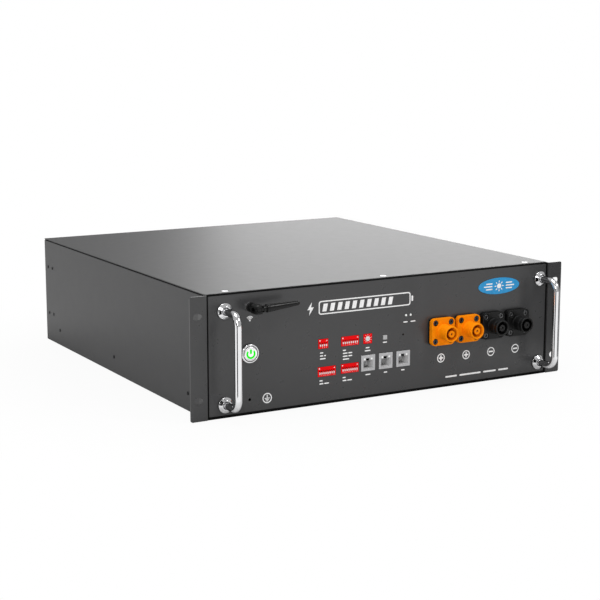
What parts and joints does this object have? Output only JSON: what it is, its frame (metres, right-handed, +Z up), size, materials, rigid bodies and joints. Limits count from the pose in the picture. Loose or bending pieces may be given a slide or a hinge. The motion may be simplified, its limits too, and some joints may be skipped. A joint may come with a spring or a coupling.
{
  "type": "rack-mounted battery pack",
  "caption": "Grey steel rack battery pack with rack ears, chromed handles, round power connectors, network sockets, switches and a folding antenna.",
  "frame": {"origin": "centre of the base face: midway across the width and along the steel case from the front panel face to the rear wall, at the height of the base", "axes": "+X to the right seen from the front, +Y to the rear, +Z up"},
  "size_m": [0.4826, 0.514, 0.133],
  "materials": {
    "panel_coat": "fine textured dark grey powder coat",
    "case_coat": "satin grey powder coat",
    "seal_black": "matt black",
    "chrome": "bright plated",
    "zinc_steel": "zinc plated",
    "button_steel": "satin",
    "black_plastic": "fine matt",
    "orange_plastic": "satin moulded",
    "red_plastic": "satin moulded",
    "white_plastic": "satin moulded",
    "pale_plastic": "satin moulded",
    "lens": "clear lens",
    "socket_shield": "tinned sheet",
    "contact_silver": "silver plated",
    "copper": "bare copper",
    "aluminium": "extruded",
    "circuit_board": "green solder mask",
    "cell_case": "blue film over an aluminium can",
    "tray_plastic": "moulded"
  },
  "bodies": {
    "pack": {"chassis_tray": "case_coat", "top_cover": "case_coat", "front_panel": "panel_coat", "front_seal": "seal_black", "left_rack_ear": "panel_coat", "right_rack_ear": "panel_coat", "left_handle": "chrome", "right_handle": "chrome", "power_button_bezel": "button_steel", "power_button_nut": "zinc_steel", "antenna_jack": "zinc_steel", "code_switch_body": "red_plastic", "reset_switch_body": "black_plastic", "run_light": "lens", "fault_light": "lens", "communication_board": "circuit_board", "management_board": "circuit_board", "management_heat_sink": "aluminium", "positive_bus_bar": "copper", "negative_bus_bar": "copper", "series_link": "copper", "cover_screw_left": "zinc_steel", "cover_screw_middle": "zinc_steel", "cover_screw_right": "zinc_steel", "left_handle_lower_ferrule": "chrome", "left_handle_upper_ferrule": "chrome", "right_handle_lower_ferrule": "chrome", "right_handle_upper_ferrule": "chrome", "positive_1_connector": "orange_plastic", "positive_2_connector": "orange_plastic", "negative_1_connector": "black_plastic", "negative_2_connector": "black_plastic", "positive_1_contact": "contact_silver", "positive_2_contact": "contact_silver", "negative_1_contact": "contact_silver", "negative_2_contact": "contact_silver", "network_socket_1": "socket_shield", "network_socket_2": "socket_shield", "network_socket_3": "socket_shield", "upper_left_switch_body": "red_plastic", "upper_middle_switch_body": "red_plastic", "lower_left_switch_body": "red_plastic", "lower_middle_switch_body": "red_plastic", "front_cell_row": "cell_case", "front_link_tray": "tray_plastic", "front_clamp_frame": "aluminium", "rear_cell_row": "cell_case", "rear_link_tray": "tray_plastic", "rear_clamp_frame": "aluminium"},
    "power_button": {"power_button_cap": "button_steel"},
    "reset_button": {"reset_button_cap": "pale_plastic"},
    "antenna_swivel_base": {"antenna_base": "black_plastic", "antenna_hinge_pin": "zinc_steel"},
    "antenna_blade": {"antenna_whip": "black_plastic"},
    "code_rotor": {"code_switch_rotor": "white_plastic"},
    "upper_left_slider_row": {"upper_left_sliders": "white_plastic"},
    "upper_middle_slider_row": {"upper_middle_sliders": "white_plastic"},
    "lower_left_slider_row": {"lower_left_sliders": "white_plastic"},
    "lower_middle_slider_row": {"lower_middle_sliders": "white_plastic"}
  },
  "joints": [
    {"name": "power_button_press", "type": "slide", "parent": "pack", "child": "power_button", "axis": [0, 1, 0], "range_m": [0, 0.002], "stiffness_N_per_m": 1500},
    {"name": "reset_button_press", "type": "slide", "parent": "pack", "child": "reset_button", "axis": [0, 1, 0], "range_m": [0, 0.0006], "stiffness_N_per_m": 3000},
    {"name": "antenna_swivel", "type": "hinge", "parent": "pack", "child": "antenna_swivel_base", "pos_m": [-0.172, -0.2597, 0.1165], "axis": [0, -1, 0], "range_deg": [-90, 85]},
    {"name": "antenna_fold", "type": "hinge", "parent": "antenna_swivel_base", "child": "antenna_blade", "pos_m": [-0.172, -0.2597, 0.1165], "axis": [0.061, 0, -0.9981], "range_deg": [0, 90]},
    {"name": "code_switch_turn", "type": "hinge", "parent": "pack", "child": "code_rotor", "pos_m": [-0.0257, -0.2402, 0.0671], "axis": [0, -1, 0], "continuous": true},
    {"name": "upper_left_sliders_shift", "type": "slide", "parent": "pack", "child": "upper_left_slider_row", "axis": [0, 0, 1], "range_m": [0, 0.0018]},
    {"name": "upper_middle_sliders_shift", "type": "slide", "parent": "pack", "child": "upper_middle_slider_row", "axis": [0, 0, 1], "range_m": [0, 0.0018]},
    {"name": "lower_left_sliders_shift", "type": "slide", "parent": "pack", "child": "lower_left_slider_row", "axis": [0, 0, 1], "range_m": [0, 0.0018]},
    {"name": "lower_middle_sliders_shift", "type": "slide", "parent": "pack", "child": "lower_middle_slider_row", "axis": [0, 0, 1], "range_m": [0, 0.0018]}
  ]
}
